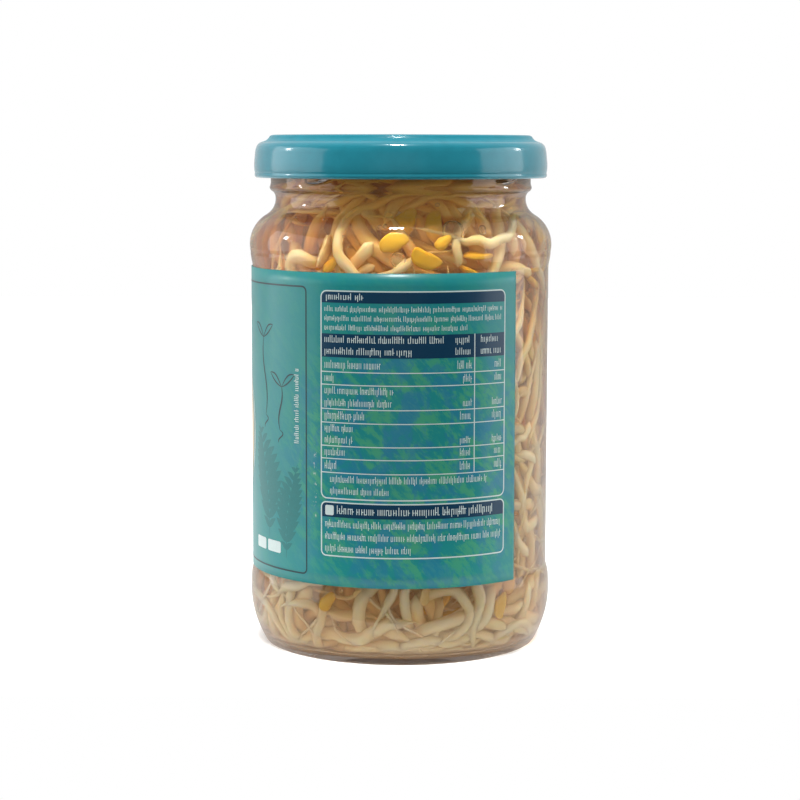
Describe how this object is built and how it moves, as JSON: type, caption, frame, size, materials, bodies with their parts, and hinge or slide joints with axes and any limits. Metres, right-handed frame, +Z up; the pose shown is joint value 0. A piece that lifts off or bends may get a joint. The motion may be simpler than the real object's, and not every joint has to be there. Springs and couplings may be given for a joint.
{
  "type": "jar of bean sprouts",
  "caption": "Round glass jar with a twist-off metal lid and a paper wrap label, packed with bean sprouts in brine, standing upright.",
  "frame": {"origin": "centre of the ring that the jar stands on, on the resting surface", "axes": "+Z up along the axis of the jar and lid; -Y towards the side seen in the picture, where most of the label is; +X to that view's right"},
  "size_m": [0.0718, 0.0718, 0.1205],
  "materials": {
    "glass": "clear, glossy",
    "lid": "glossy lacquer",
    "seal": "matte",
    "label": "satin coated",
    "brine": "clear liquid",
    "sprouts": "wet, slightly translucent"
  },
  "bodies": {
    "jar": {"jar": "glass", "label": "label", "brine": "brine", "packed_sprouts": "sprouts", "loose_sprout_1": "sprouts", "loose_sprout_2": "sprouts"},
    "seal": {"lid_seal": "seal"},
    "lid": {"lid": "lid"}
  },
  "joints": [
    {"name": "lid_rise", "type": "slide", "parent": "jar", "child": "seal", "axis": [0, 0, 1], "range_m": [0, 0.00133]},
    {"name": "lid_turn", "type": "hinge", "parent": "seal", "child": "lid", "pos_m": [0, 0, 0.115], "axis": [0, 0, 1], "range_deg": [0, 60]}
  ],
  "couplings": [
    {"joint": "lid_rise", "follows": "lid_turn", "m_per_rad": 0.0012732}
  ]
}
